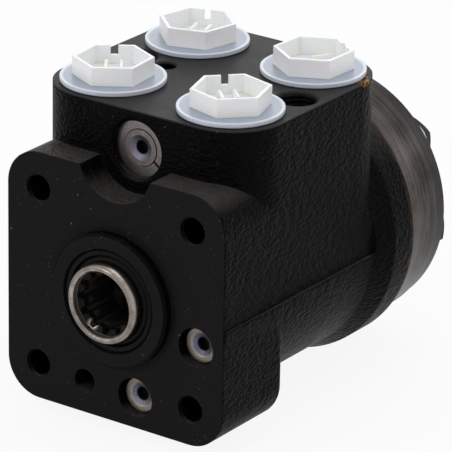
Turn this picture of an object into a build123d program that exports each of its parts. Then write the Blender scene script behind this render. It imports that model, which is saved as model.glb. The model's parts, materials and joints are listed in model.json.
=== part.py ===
from build123d import *
from math import cos, pi, radians, sin, tan
import os

os.makedirs("parts", exist_ok=True)

# Orbital steering unit. The shaft runs along Y, the column face lies in the plane y = 0 and looks
# along -Y, the four ports look up along Z, and the origin is the middle of the column face.

# Clearances shared by the whole unit
running_clearance = 0.02
face_gap = 0.03
cut_margin = 1.0
hexagon_sides = 6

# Cast housing
flange_width = 82.0
flange_depth = 33.0
flange_corner = 12.0
flange_back_round = 3.0
pilot_radius = 21.8
pilot_height = 3.3
pilot_break = 0.8
block_front = 10.5
block_back_margin = 8.0
block_top = 58.0
block_corner = 18.0
barrel_step = 3.1
barrel_bite = 2.0
rear_cone_length = 8.0
rear_flange_step = 2.5
rear_flange_length = 10.5
housing_length = 98.5
parting_height = -1.0

# Column face
column_bolt_spacing = 58.34
column_bolt_drill = 8.5
column_bolt_depth = 18.0
column_bolt_break = 0.35
drain_hole_drill = 7.8
drain_hole_depth = 26.0
drain_hole_x = -11.0
drain_hole_z = -30.4

# Ports and their galleries
port_spacing_x = 44.4
port_spacing_y = 44.3
port_front_y = 28.6
port_drill = 18.63
port_depth = 16.0
port_mouth_width = 1.7
gallery_drill = 8.0
gallery_overlap = 3.0
left_groove_y = 36.0
right_groove_y = 45.0
groove_width = 3.6
groove_depth = 2.4
auxiliary_drill = 11.8
auxiliary_depth = 13.0
auxiliary_break = 1.0
auxiliary_places = [(32.2, 49.5), (-29.4, 51.0)]
clamp_hole_drill = 6.8
clamp_hole_depth = 14.0
clamp_hole_break = 0.5
clamp_hole_place = (-17.2, 49.0)

# Shaft nose and its seals, from the inside out
coupling_teeth = 12
coupling_minor_radius = 8.75
coupling_tooth_height = 1.55
coupling_root_gap = 0.3
coupling_space = 3.0
coupling_space_slope = 68.0
coupling_length = 17.0
coupling_run_out = 1.9
nose_front = -7.1
nose_mouth_gap = 0.35
nose_mouth_depth = 3.6
nose_mouth_break = 0.6
nose_wall = 2.5
nose_break = 0.7
dust_seal_band = 3.05
dust_seal_wall = 1.4
dust_seal_recess = 0.6
dust_lip_room = 0.8
dust_lip_depth = 1.6
dust_lip_edge = 0.5
dust_seat_depth = 2.2
lip_bore_gap = 0.55
shaft_seal_front = 4.2
shaft_seal_band = 4.85
slide_ring_band = 2.45
rubber_side_gap = 0.3

# Spool, sleeve and thrust bearing
spool_shoulder = 1.85
spool_wall = 3.5
spool_bore_cone = 3.0
sleeve_wall = 3.96
shaft_end_gap = 1.1
bearing_front = 9.2
race_thickness = 1.4
race_chamfer = 0.4
needle_radius = 0.95
needle_length = 3.4
needle_count = 12
needle_play = 0.05
cage_thickness = 1.2
outer_race_rim = 0.05
outer_race_bore_gap = 0.6
inner_race_rim = 0.2
inner_race_bore_gap = 0.1
cage_rim = 0.1
cage_bore_gap = 0.5
spring_slot_front = 25.0
spring_slot_width = 10.0
spring_thickness = 0.5
spring_arch = 0.9
spring_side_gap = 0.1
spring_end_gap = 0.4
retaining_band = 1.6
band_margin = 2.0
band_side_gap = 0.1
cross_pin_y = 58.0
cross_pin_radius = 4.0
cross_pin_break = 0.5
cross_pin_end_gap = 0.3
pin_window_gap = 0.1
window_travel_gap = 0.15
neutral_angle = 8.0
metering_row_margin = 14.5
pressure_groove_step = 7.5
tank_groove_step = 6.5
metering_holes = 12
entry_holes = 6
metering_drill = 2.5
spool_groove_step = 21.5
spool_groove_length = 24.0
spool_groove_width = 2.4
spool_groove_depth = 1.2
sleeve_groove_depth = 1.2

# Gear set and rear stack
gear_offset = 3.5
ring_lobes = 7
lobe_circle = 33.0
lobe_radius = 8.0
gear_gap = 0.08
star_curve_points = 20
root_crowding = 0.65
ring_width = 8.1
plate_thickness = 9.2
plate_bore = 12.6
feed_step = 4.5
feed_drill = 5.0
cover_thickness = 6.9
cover_step = 0.8
cover_chamfer = 1.3
seal_groove_land = 1.1
seal_groove_width = 2.2
seal_groove_depth = 1.3
seal_side_gap = 0.1
ring_land = 2.0

# Drive shaft between cross pin and star, and the spacer behind it
drive_teeth = 12
drive_minor_radius = 9.2
drive_tooth_height = 1.8
drive_tooth = 3.0
drive_tooth_slope = 75.0
drive_tooth_root = 1.0
drive_tip_gap = 0.25
drive_root_gap = 0.35
drive_flank_gap = 0.3
drive_head_length = 4.2
drive_head_setback = 0.7
drive_shank_radius = 7.0
star_space_root = 0.3
fork_radius = 9.6
fork_length = 16.0
fork_overhang = 6.0
fork_gap = 0.1
pin_slot_depth = 6.2
spacer_thickness = 1.6
spacer_gap = 0.15

# Rear screws
screw_radius = 4.0
screw_clearance = 0.2
screw_thread_gap = 0.05
screw_reach = 19.0
screw_tip_room = 1.0
head_flats = 13.0
head_height = 3.8
washer_radius = 7.3
washer_thickness = 1.0
pin_radius = 2.0
pin_length = 6.0

# Relief valve, in the front of the port block
relief_z = 45.3
relief_bore_radius = 9.1
relief_mouth_width = 0.9
relief_face_y = 13.2
relief_ring_thickness = 1.0
relief_ring_bite = 0.7
relief_ring_play = 0.1
relief_boss_radius = 5.85
relief_boss_gap = 0.3
relief_boss_recess = 0.2
relief_dish_radius = 4.1
relief_guide_gap = 0.1
relief_plug_length = 9.0
relief_chamber_radius = 5.6
relief_screw_length = 7.0
relief_spring_length = 13.0
relief_poppet_length = 7.0
relief_poppet_collar = 2.0
relief_poppet_stem = 2.8
relief_poppet_cone = 2.0
relief_poppet_tip = 1.0
relief_poppet_reach = 0.3
relief_seat_length = 6.0
relief_seat_drill = 3.2
relief_seat_break = 0.6
drill_point = 3.0
tool_pocket_radius = 14.0
split_ring_angle = -35.0
split_ring_opening = 1.2

# Shock valves, in the column face
shock_circle = 32.0
shock_angles = {"right": -15.0, "left": -75.0}
shock_face_y = 3.0
shock_mouth_radius = 6.4
shock_screw_gap = 0.3
shock_screw_length = 10.0
shock_screw_break = 0.6
shock_chamber_radius = 4.0
shock_spring_length = 12.0
shock_ball_radius = 3.2
shock_seat_drill = 4.0
shock_seat_reach = 7.0
shock_rim = 1.5
shock_rim_depth = 0.25
shock_dish_gap = 0.4

# Round sockets of the valve plugs, each in a shallow dish
socket_radius = 2.1
socket_depth = 4.0
dish_angle = 130.0

# Coil springs of the valves
spring_wire = 1.0
spring_play = 0.6
coil_turns = 5

# Non-return and suction balls
check_ball_radius = 4.7
check_chamber_radius = 5.5
check_bushing_radius = 7.0
check_bushing_length = 7.0
check_bushing_key = 3.0
check_lift = 2.0
suction_circle = 24.0
suction_ball_radius = 3.0
suction_ball_gap = 0.05
suction_drill_radius = 3.3
suction_pin_gap = 0.6
suction_depth = 20.0
suction_lift = 1.5

# Transport plugs
plug_disc_radius = 16.6
plug_disc_thickness = 1.3
plug_seat_gap = 0.3
plug_head_flats = 22.0
plug_head_height = 6.0
plug_rim = 1.1
plug_floor = 1.5
plug_notch_width = 2.4
plug_notch_depth = 3.0
plug_notch_angles = {"front_left": 125.0, "front_right": 136.0, "rear_left": 108.0, "rear_right": 57.0}
plug_rib_length = 7.0
plug_rib_height = 2.4
plug_rib_spacing = 4.8
plug_rib_room = 0.5
plug_wall = 2.0
plug_bore_gap = 0.1
plug_shank_length = 12.0
plug_ring_count = 3
plug_ring_width = 1.2
plug_ring_height = 0.6

# Places that follow from the sizes above: shaft nose and sleeve stack
coupling_major_radius = coupling_minor_radius + coupling_tooth_height
coupling_end = nose_front + coupling_length
nose_mouth_end = nose_front + nose_mouth_depth
nose_mouth_radius = coupling_major_radius + nose_mouth_gap
nose_radius = nose_mouth_radius + nose_wall
nose_fit_radius = nose_radius + running_clearance
dust_seat_radius = nose_radius + dust_seal_band
dust_seal_front = -pilot_height + dust_seal_recess
dust_seal_back = dust_seat_depth - face_gap
shaft_seal_radius = nose_radius + shaft_seal_band
shaft_seal_split = nose_radius + slide_ring_band
shaft_seal_length = bearing_front - shaft_seal_front
spool_radius = nose_radius + spool_shoulder
spool_bore = spool_radius - spool_wall
sleeve_bore = spool_radius + running_clearance
sleeve_radius = sleeve_bore + sleeve_wall
bore_radius = sleeve_radius + running_clearance
groove_radius = bore_radius + groove_depth
needle_circle = (nose_radius + sleeve_radius) / 2
needle_middle = bearing_front + race_thickness + 2 * face_gap + needle_radius
inner_race_front = needle_middle + needle_radius + face_gap
sleeve_front = inner_race_front + race_thickness + face_gap
shaft_end = housing_length - shaft_end_gap
metering_row_y = housing_length - metering_row_margin
pressure_groove_y = metering_row_y - pressure_groove_step
tank_groove_y = pressure_groove_y - tank_groove_step
spool_groove_front = metering_row_y - spool_groove_step
metering_step = 360 / metering_holes
band_radius = sleeve_radius - retaining_band
band_length = spring_slot_width + 2 * band_margin
spring_middle = spring_slot_front + spring_slot_width / 2
leaf_pitch = spring_thickness + face_gap
leaf_half_length = band_radius - spring_end_gap
leaf_width = spring_slot_width - 2 * spring_side_gap
pack_half_height = 3 * leaf_pitch + spring_arch
window_travel = spool_radius * tan(radians(neutral_angle)) + window_travel_gap
cross_pin_half = sleeve_radius - cross_pin_end_gap

# Gear set and rear stack
ring_root_radius = lobe_circle - lobe_radius + 2 * gear_offset + gear_gap
screw_hole_radius = screw_radius + screw_clearance
seal_groove_inner = lobe_circle + screw_hole_radius + seal_groove_land
seal_groove_outer = seal_groove_inner + seal_groove_width
ring_radius = seal_groove_outer + ring_land
cover_radius = ring_radius - cover_step
plate_front = housing_length + face_gap
plate_back = plate_front + plate_thickness
ring_front = plate_back + face_gap
star_middle = ring_front + ring_width / 2
cover_front = ring_front + ring_width + face_gap
cover_back = cover_front + cover_thickness
head_front = cover_back + washer_thickness
screw_tip_y = housing_length - screw_reach
pin_tip_y = screw_tip_y - pin_length
feed_circle = lobe_circle - feed_step
lobe_angle = 360 / ring_lobes
star_teeth = ring_lobes - 1
star_steps = star_curve_points * star_teeth
drive_way = Vector(0, star_middle - drive_head_setback - cross_pin_y, gear_offset)
drive_length = drive_way.length
drive_plane = Plane(origin=(0, cross_pin_y, 0), x_dir=(1, 0, 0), z_dir=drive_way)
fork_plane = Plane(origin=drive_plane.origin, x_dir=(1, 0, 0), z_dir=drive_plane.y_dir)
star_space_narrowing = 2 * (drive_tooth_root - star_space_root) / tan(radians(drive_tooth_slope))
star_space = drive_tooth + 2 * drive_flank_gap - star_space_narrowing

# Housing outline
rear_flange_radius = ring_radius + rear_flange_step
rear_flange_front = housing_length - rear_flange_length
barrel_radius = rear_flange_radius - barrel_step
barrel_front = flange_depth - barrel_bite
barrel_end = rear_flange_front - rear_cone_length
block_length = housing_length - block_back_margin - block_front

# Ports and valves
port_places = {
    "front_left": (-port_spacing_x / 2, port_front_y),
    "front_right": (port_spacing_x / 2, port_front_y),
    "rear_left": (-port_spacing_x / 2, port_front_y + port_spacing_y),
    "rear_right": (port_spacing_x / 2, port_front_y + port_spacing_y),
}
groove_places = {
    "front_left": left_groove_y,
    "front_right": right_groove_y,
    "rear_left": pressure_groove_y,
    "rear_right": tank_groove_y,
}
port_floor = block_top - port_depth
relief_axis = Axis((0, 0, relief_z), (0, 1, 0))
relief_groove_top = relief_z + relief_bore_radius + relief_ring_bite
relief_ring_back = relief_face_y + relief_ring_thickness
relief_plug_front = relief_ring_back + face_gap
relief_plug_back = relief_plug_front + relief_plug_length
relief_screw_back = relief_plug_back + face_gap + relief_screw_length
relief_spring_back = relief_screw_back + relief_spring_length
relief_poppet_front = relief_spring_back + face_gap
relief_collar_back = relief_spring_back + relief_poppet_collar
relief_guide_top = relief_z + relief_chamber_radius - relief_guide_gap
relief_seat_front = relief_spring_back + relief_poppet_length
relief_seat_back = relief_seat_front + relief_seat_length
shock_spring_front = shock_face_y + shock_screw_length + face_gap
shock_ball_middle = shock_spring_front + shock_spring_length + shock_ball_radius
shock_seat_offset = (shock_ball_radius**2 - (shock_seat_drill / 2) ** 2) ** 0.5
shock_seat_y = shock_ball_middle + shock_seat_offset + face_gap
check_ball_middle = port_floor - check_bushing_length - face_gap - check_lift - check_ball_radius
shock_screw_radius = shock_mouth_radius - shock_screw_gap
shock_dish_radius = shock_screw_radius - shock_rim - shock_dish_gap
suction_floor_y = housing_length - suction_depth
suction_ball_middle = suction_floor_y + suction_ball_radius + suction_ball_gap
suction_pin_front = suction_ball_middle + suction_ball_radius + suction_lift
plug_shank_radius = port_drill / 2 - plug_bore_gap
plug_rib_radius = plug_head_flats / 2 - plug_rim - plug_rib_room
plug_cup_depth = plug_disc_thickness + plug_head_height - plug_floor


def star_point(turn):
    """Point of the star, a lobe radius inside the path that a ring lobe takes round the star."""
    path = Vector(
        lobe_circle * cos(turn) - gear_offset * cos(ring_lobes * turn),
        lobe_circle * sin(turn) - gear_offset * sin(ring_lobes * turn),
    )
    heading = Vector(
        -lobe_circle * sin(turn) + gear_offset * ring_lobes * sin(ring_lobes * turn),
        lobe_circle * cos(turn) - gear_offset * ring_lobes * cos(ring_lobes * turn),
    ).normalized()
    place = path + Vector(-heading.Y, heading.X) * (lobe_radius + gear_gap)
    return (-place.Y, place.X + gear_offset)


def star_turn(step):
    """Turn of one point of the star's curve, with the points crowded towards the tooth roots."""
    even_turn = 2 * pi * step / star_steps
    return even_turn - root_crowding / star_teeth * sin(star_teeth * even_turn)


def station(y):
    """Plane square to the shaft, y behind the column face, with x to the right and z up."""
    return Plane.XZ.offset(-y)


def around(radius, angle):
    """Point on a circle about the shaft, in the x, z of a station plane."""
    return (radius * cos(radians(angle)), radius * sin(radians(angle)))


def finish(piece, name):
    """Label a finished piece and write it under its own name."""
    piece.part.label = name
    export_step(piece.part, f"parts/{name}.step")


star_points = [star_point(star_turn(step)) for step in range(star_steps)]
screw_angles = [90 - lobe_angle * i for i in range(ring_lobes)]
feed_angles = [angle - lobe_angle / 2 for angle in screw_angles]
screw_points = [around(lobe_circle, angle) for angle in screw_angles]
feed_points = [around(feed_circle, angle) for angle in feed_angles]
pin_screw_point = screw_points[ring_lobes // 2 + 1]
shock_points = {side: around(shock_circle, angle) for side, angle in shock_angles.items()}
suction_points = {
    "right": around(suction_circle, -lobe_angle / 4),
    "left": around(suction_circle, 180 + lobe_angle / 4),
}


# Housing: square flange, round barrel below, port block on top and a round rear flange
with BuildPart() as housing:
    with BuildSketch(Plane.XZ) as flange_outline:
        RectangleRounded(flange_width, flange_width, flange_corner)
    extrude(amount=-flange_depth)
    fillet(housing.faces().sort_by(Axis.Y)[-1].edges(), flange_back_round)
    with BuildSketch(Plane.XY) as barrel_profile:
        with BuildLine():
            Polyline(
                (0, barrel_front),
                (barrel_radius, barrel_front),
                (barrel_radius, barrel_end),
                (rear_flange_radius, rear_flange_front),
                (rear_flange_radius, housing_length),
                (0, housing_length),
                close=True,
            )
        make_face()
    revolve(axis=Axis.Y)
    # The barrel is cut back to the block's width above the parting line
    for side in (-1, 1):
        with BuildSketch(Plane.XY.offset(parting_height)) as side_trim:
            with Locations((side * (flange_width + barrel_radius) / 2, (barrel_front + barrel_end) / 2)):
                Rectangle(barrel_radius, barrel_end - barrel_front + barrel_bite)
        extrude(amount=barrel_radius, mode=Mode.SUBTRACT)
    with BuildSketch(Plane.XY.offset(parting_height)) as block_outline:
        with Locations((0, block_front + block_length / 2)):
            RectangleRounded(flange_width, block_length, block_corner)
    extrude(amount=block_top - parting_height)
    with BuildSketch(Plane.XZ) as pilot_outline:
        Circle(pilot_radius)
    extrude(amount=pilot_height)
    chamfer(housing.edges().filter_by(GeomType.CIRCLE).sort_by(Axis.Y)[0], pilot_break)
    # Pocket in the flange ledge that lets a tool reach the relief valve
    with BuildSketch(Plane.XZ) as tool_pocket:
        with Locations((0, relief_z)):
            Circle(tool_pocket_radius)
    extrude(amount=-block_front, mode=Mode.SUBTRACT)
    # Stepped bore along the shaft: dust seal, lip, shaft seal, then bearing and sleeve
    with BuildSketch(Plane.XY) as bore_profile:
        with BuildLine():
            Polyline(
                (0, -pilot_height),
                (dust_seat_radius + pilot_break, -pilot_height),
                (dust_seat_radius, -pilot_height + pilot_break),
                (dust_seat_radius, dust_seat_depth),
                (nose_radius + lip_bore_gap, dust_seat_depth),
                (nose_radius + lip_bore_gap, shaft_seal_front),
                (shaft_seal_radius, shaft_seal_front),
                (shaft_seal_radius, bearing_front),
                (bore_radius, bearing_front),
                (bore_radius, housing_length),
                (0, housing_length),
                close=True,
            )
        make_face()
    revolve(axis=Axis.Y, mode=Mode.SUBTRACT)
    for groove_y in groove_places.values():
        with BuildSketch(station(groove_y - groove_width / 2)) as groove_ring:
            Circle(groove_radius)
            Circle(bore_radius - cut_margin, mode=Mode.SUBTRACT)
        extrude(amount=-groove_width, mode=Mode.SUBTRACT)
    # Column face: four tapped holes, the drain drilling and the shock valve bores
    with Locations(station(0)):
        with GridLocations(column_bolt_spacing, column_bolt_spacing, 2, 2):
            column_bolt_mouth = column_bolt_drill / 2 + column_bolt_break
            CounterSinkHole(column_bolt_drill / 2, column_bolt_mouth, column_bolt_depth)
        with Locations((drain_hole_x, drain_hole_z)):
            Hole(drain_hole_drill / 2, drain_hole_depth)
        with Locations(*shock_points.values()):
            Hole(shock_mouth_radius, shock_face_y + shock_screw_length)
            Hole(shock_chamber_radius, shock_seat_y)
            Hole(shock_seat_drill / 2, shock_seat_y + shock_seat_reach)
    # Relief valve bore with its ring groove
    with BuildSketch(Plane.YZ) as relief_profile:
        with BuildLine():
            Polyline(
                (block_front - cut_margin, relief_z),
                (block_front - cut_margin, relief_z + relief_bore_radius + relief_mouth_width),
                (block_front, relief_z + relief_bore_radius + relief_mouth_width),
                (block_front + relief_mouth_width, relief_z + relief_bore_radius),
                (relief_face_y - face_gap, relief_z + relief_bore_radius),
                (relief_face_y - face_gap, relief_groove_top),
                (relief_plug_front, relief_groove_top),
                (relief_plug_front, relief_z + relief_bore_radius),
                (relief_plug_back, relief_z + relief_bore_radius),
                (relief_plug_back, relief_z + relief_chamber_radius),
                (relief_seat_back, relief_z + relief_chamber_radius),
                (relief_seat_back + drill_point, relief_z),
                close=True,
            )
        make_face()
    revolve(axis=relief_axis, mode=Mode.SUBTRACT)
    # Ports, each with a mouth chamfer and a slanted gallery down to its groove in the bore
    with Locations(Plane.XY.offset(block_top)):
        with Locations(*port_places.values()):
            CounterSinkHole(port_drill / 2, port_drill / 2 + port_mouth_width, port_depth)
        with Locations(*auxiliary_places):
            CounterSinkHole(auxiliary_drill / 2, auxiliary_drill / 2 + auxiliary_break, auxiliary_depth)
        with Locations(clamp_hole_place):
            CounterSinkHole(clamp_hole_drill / 2, clamp_hole_drill / 2 + clamp_hole_break, clamp_hole_depth)
    for corner, (port_x, port_y) in port_places.items():
        gallery_floor = Vector(0, groove_places[corner], 0)
        gallery_way = Vector(port_x, port_y, port_floor - gallery_overlap) - gallery_floor
        with BuildSketch(Plane(origin=gallery_floor, z_dir=gallery_way)) as gallery:
            Circle(gallery_drill / 2)
        extrude(amount=gallery_way.length, mode=Mode.SUBTRACT)
    # Pocket for the non-return bushing and its ball under the pressure port
    with Locations(Plane.XY.offset(port_floor)):
        with Locations(port_places["rear_left"]):
            Hole(check_bushing_radius, check_bushing_length)
            Hole(check_chamber_radius, port_floor - check_ball_middle + check_ball_radius)
    # Rear face: screw holes, suction balls, seven slanted feeds to the bore and a seal groove
    with BuildSketch(station(screw_tip_y - screw_tip_room)) as screw_holes:
        with Locations(*screw_points):
            Circle(screw_radius + screw_thread_gap)
    extrude(amount=-(screw_reach + screw_tip_room), mode=Mode.SUBTRACT)
    with BuildSketch(station(pin_tip_y - screw_tip_room)) as pin_hole:
        with Locations(pin_screw_point):
            Circle(pin_radius + screw_clearance)
    extrude(amount=-(pin_length + screw_tip_room), mode=Mode.SUBTRACT)
    with BuildSketch(station(suction_floor_y)) as suction_bores:
        with Locations(*suction_points.values()):
            Circle(suction_drill_radius)
    extrude(amount=-suction_depth, mode=Mode.SUBTRACT)
    for angle in feed_angles:
        x, z = around(1, angle)
        feed_mouth = Vector(feed_circle * x, housing_length, feed_circle * z)
        feed_end = Vector(bore_radius * x, metering_row_y, bore_radius * z)
        with BuildSketch(Plane(origin=feed_mouth, z_dir=feed_end - feed_mouth)) as feed:
            Circle(feed_drill / 2)
        extrude(amount=(feed_end - feed_mouth).length, mode=Mode.SUBTRACT)
    with BuildSketch(station(housing_length)) as seal_groove:
        Circle(seal_groove_outer)
        Circle(seal_groove_inner, mode=Mode.SUBTRACT)
    extrude(amount=seal_groove_depth, mode=Mode.SUBTRACT)
finish(housing, "housing")

# Dust seal: a ring pressed into the pilot boss, its lip running on the shaft nose
with BuildPart() as dust_seal:
    with BuildSketch(Plane.XY) as dust_profile:
        with BuildLine():
            Polyline(
                (dust_seat_radius - running_clearance, dust_seal_back),
                (dust_seat_radius - running_clearance, dust_seal_front),
                (dust_seat_radius - dust_seal_wall, dust_seal_front),
                (dust_seat_radius - dust_seal_wall, dust_seal_front + dust_lip_depth),
                (nose_radius + dust_lip_room, dust_seal_front + dust_lip_edge),
                (nose_fit_radius, dust_seal_front),
                (nose_fit_radius, dust_seal_front + dust_lip_edge),
                (nose_radius + dust_lip_room, dust_seal_front + dust_lip_depth + dust_lip_edge),
                (nose_radius + dust_lip_room, dust_seal_back),
                close=True,
            )
        make_face()
    revolve(axis=Axis.Y)
finish(dust_seal, "dust_seal")

# Shaft seal: a sliding ring with a square-section rubber ring around it
with BuildPart() as shaft_seal_ring:
    with BuildSketch(station(shaft_seal_front + face_gap)) as slide_outline:
        Circle(shaft_seal_split - face_gap)
        Circle(nose_fit_radius, mode=Mode.SUBTRACT)
    extrude(amount=-(shaft_seal_length - 2 * face_gap))
finish(shaft_seal_ring, "shaft_seal_ring")

with BuildPart() as shaft_seal_rubber:
    with BuildSketch(station(shaft_seal_front + rubber_side_gap)) as rubber_outline:
        Circle(shaft_seal_radius - face_gap)
        Circle(shaft_seal_split, mode=Mode.SUBTRACT)
    extrude(amount=-(shaft_seal_length - 2 * rubber_side_gap))
finish(shaft_seal_rubber, "shaft_seal_rubber")

# Needle thrust bearing: two races with a caged set of rollers between them
with BuildPart() as bearing_outer_race:
    with BuildSketch(station(bearing_front + face_gap)) as outer_race_outline:
        Circle(sleeve_radius - outer_race_rim)
        Circle(nose_radius + outer_race_bore_gap, mode=Mode.SUBTRACT)
    extrude(amount=-race_thickness)
finish(bearing_outer_race, "bearing_outer_race")

with BuildPart() as bearing_inner_race:
    with BuildSketch(station(inner_race_front)) as inner_race_outline:
        Circle(sleeve_radius - inner_race_rim)
        Circle(nose_radius + inner_race_bore_gap, mode=Mode.SUBTRACT)
    extrude(amount=-race_thickness)
    chamfer(bearing_inner_race.edges().sort_by(Axis.Y)[-1], race_chamfer)
finish(bearing_inner_race, "bearing_inner_race")

with BuildPart() as bearing_cage:
    with BuildSketch(station(needle_middle - cage_thickness / 2)) as cage_outline:
        Circle(sleeve_radius - cage_rim)
        Circle(nose_radius + cage_bore_gap, mode=Mode.SUBTRACT)
        with PolarLocations(needle_circle, needle_count):
            Rectangle(needle_length + 2 * needle_play, 2 * (needle_radius + needle_play), mode=Mode.SUBTRACT)
    extrude(amount=-cage_thickness)
finish(bearing_cage, "bearing_cage")

with BuildPart() as bearing_needles:
    with Locations(station(needle_middle)):
        with PolarLocations(needle_circle, needle_count):
            Cylinder(needle_radius, needle_length, rotation=(0, 90, 0))
finish(bearing_needles, "bearing_needles")

# Spool, the input shaft: internal spline at the nose, slots for springs and pin, metering grooves
with BuildPart() as spool:
    with BuildSketch(Plane.XY) as spool_profile:
        with BuildLine():
            Polyline(
                (nose_mouth_radius + nose_mouth_break, nose_front),
                (nose_radius - nose_break, nose_front),
                (nose_radius, nose_front + nose_break),
                (nose_radius, sleeve_front),
                (spool_radius, sleeve_front),
                (spool_radius, shaft_end),
                (spool_bore, shaft_end),
                (spool_bore, coupling_end + spool_bore_cone),
                (coupling_minor_radius, coupling_end),
                (coupling_minor_radius, nose_mouth_end + coupling_run_out),
                (nose_mouth_radius, nose_mouth_end),
                (nose_mouth_radius, nose_front + nose_mouth_break),
                close=True,
            )
        make_face()
    revolve(axis=Axis.Y)
    with BuildSketch(station(nose_mouth_end)) as spline_spaces:
        with PolarLocations(coupling_minor_radius - coupling_root_gap, coupling_teeth, start_angle=90):
            Trapezoid(
                coupling_space,
                coupling_tooth_height + coupling_root_gap,
                coupling_space_slope,
                rotation=-90,
                align=(Align.CENTER, Align.MIN),
            )
    extrude(amount=-(coupling_end - nose_mouth_end), mode=Mode.SUBTRACT)
    with BuildSketch(Plane.YZ.offset(-spool_radius)) as spool_windows:
        with Locations((cross_pin_y, 0)):
            SlotCenterToCenter(2 * window_travel, 2 * (cross_pin_radius + pin_window_gap), rotation=90)
        with Locations((spring_middle, 0)):
            Rectangle(spring_slot_width + 4 * spring_side_gap, 2 * (pack_half_height + window_travel))
    extrude(amount=2 * spool_radius, mode=Mode.SUBTRACT)
    with BuildSketch(station(spool_groove_front)) as metering_grooves:
        with PolarLocations(spool_radius, metering_holes, start_angle=metering_step / 2):
            Rectangle(2 * spool_groove_depth, spool_groove_width)
    extrude(amount=-spool_groove_length, mode=Mode.SUBTRACT)
    with BuildSketch(station(pressure_groove_y - groove_width / 2)) as spool_ring:
        Circle(spool_radius + cut_margin)
        Circle(spool_radius - spool_groove_depth, mode=Mode.SUBTRACT)
    extrude(amount=-groove_width, mode=Mode.SUBTRACT)
finish(spool, "spool")

# Sleeve around the spool, with ring grooves opposite the ports and radial metering holes
with BuildPart() as sleeve:
    with BuildSketch(station(sleeve_front)) as sleeve_outline:
        Circle(sleeve_radius)
        Circle(sleeve_bore, mode=Mode.SUBTRACT)
    extrude(amount=-(shaft_end - sleeve_front))
    with BuildSketch(station(spring_slot_front - band_margin)) as band_seat:
        Circle(sleeve_radius + cut_margin)
        Circle(band_radius, mode=Mode.SUBTRACT)
    extrude(amount=-band_length, mode=Mode.SUBTRACT)
    for groove_y in (right_groove_y, tank_groove_y, pressure_groove_y):
        with BuildSketch(station(groove_y - groove_width / 2)) as sleeve_ring:
            Circle(sleeve_radius + cut_margin)
            Circle(sleeve_radius - sleeve_groove_depth, mode=Mode.SUBTRACT)
        extrude(amount=-groove_width, mode=Mode.SUBTRACT)
    with BuildSketch(Plane.YZ.offset(-sleeve_radius)) as sleeve_windows:
        with Locations((cross_pin_y, 0)):
            Circle(cross_pin_radius + running_clearance)
        with Locations((spring_middle, 0)):
            Rectangle(spring_slot_width + 2 * face_gap, 2 * pack_half_height)
    extrude(amount=2 * sleeve_radius, mode=Mode.SUBTRACT)
    hole_rows = {metering_row_y: metering_holes, pressure_groove_y: entry_holes, right_groove_y: entry_holes}
    for row_y, row_count in hole_rows.items():
        for i in range(row_count):
            x, z = around(1, 360 / row_count * i + metering_step / 2)
            with BuildSketch(Plane(origin=(0, row_y, 0), z_dir=(x, 0, z))) as metering_hole:
                Circle(metering_drill / 2)
            extrude(amount=sleeve_radius + cut_margin, mode=Mode.SUBTRACT)
finish(sleeve, "sleeve")

with BuildPart() as retaining_ring:
    with BuildSketch(station(spring_slot_front - band_margin + band_side_gap)) as band_outline:
        Circle(sleeve_radius)
        Circle(band_radius + running_clearance, mode=Mode.SUBTRACT)
    extrude(amount=-(band_length - 2 * band_side_gap))
finish(retaining_ring, "retaining_ring")

with BuildPart() as cross_pin:
    with BuildSketch(Plane.YZ.offset(-cross_pin_half)) as pin_outline:
        with Locations((cross_pin_y, 0)):
            Circle(cross_pin_radius)
    extrude(amount=2 * cross_pin_half)
    chamfer(cross_pin.edges().filter_by(GeomType.CIRCLE), cross_pin_break)
finish(cross_pin, "cross_pin")

# Neutral springs: two flat leaves back to back, with arched leaves above and below them
with BuildPart() as flat_leaf_springs:
    for side in (-1, 1):
        with BuildSketch(station(spring_slot_front + spring_side_gap)) as flat_leaf:
            with Locations((0, side * leaf_pitch / 2)):
                Rectangle(2 * leaf_half_length, spring_thickness)
        extrude(amount=-leaf_width)
finish(flat_leaf_springs, "flat_leaf_springs")

with BuildPart() as arched_leaf_springs:
    for side in (-1, 1):
        for layer in (1, 2):
            foot = side * layer * leaf_pitch
            back = foot + side * spring_thickness
            with BuildSketch(station(spring_slot_front + spring_side_gap)) as arched_leaf:
                with BuildLine():
                    lower = ThreePointArc(
                        (-leaf_half_length, foot),
                        (0, foot + side * spring_arch),
                        (leaf_half_length, foot),
                    )
                    upper = ThreePointArc(
                        (-leaf_half_length, back),
                        (0, back + side * spring_arch),
                        (leaf_half_length, back),
                    )
                    Line(lower @ 0, upper @ 0)
                    Line(lower @ 1, upper @ 1)
                make_face()
            extrude(amount=-leaf_width)
finish(arched_leaf_springs, "arched_leaf_springs")

# Drive shaft: forked over the cross pin, crowned teeth in the star, tilted by the gear offset
with BuildPart() as drive_shaft:
    with BuildSketch(drive_plane.offset(-fork_overhang)) as fork_outline:
        Circle(fork_radius)
    extrude(amount=fork_length)
    with BuildSketch(drive_plane) as shank_outline:
        Circle(drive_shank_radius)
    extrude(amount=drive_length)
    with BuildSketch(drive_plane.offset(drive_length - drive_head_length / 2)) as head_outline:
        Circle(drive_minor_radius - drive_root_gap)
        with PolarLocations(drive_minor_radius - drive_tooth_root, drive_teeth, start_angle=90):
            Trapezoid(
                drive_tooth,
                drive_tooth_root + drive_tooth_height - drive_tip_gap,
                drive_tooth_slope,
                rotation=-90,
                align=(Align.CENTER, Align.MIN),
            )
    extrude(amount=drive_head_length)
    with BuildSketch(fork_plane) as fork_slot:
        with Locations((0, (fork_overhang - pin_slot_depth) / 2)):
            Rectangle(2 * fork_radius + cut_margin, fork_overhang + pin_slot_depth)
    extrude(amount=cross_pin_radius + fork_gap, both=True, mode=Mode.SUBTRACT)
finish(drive_shaft, "drive_shaft")

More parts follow.
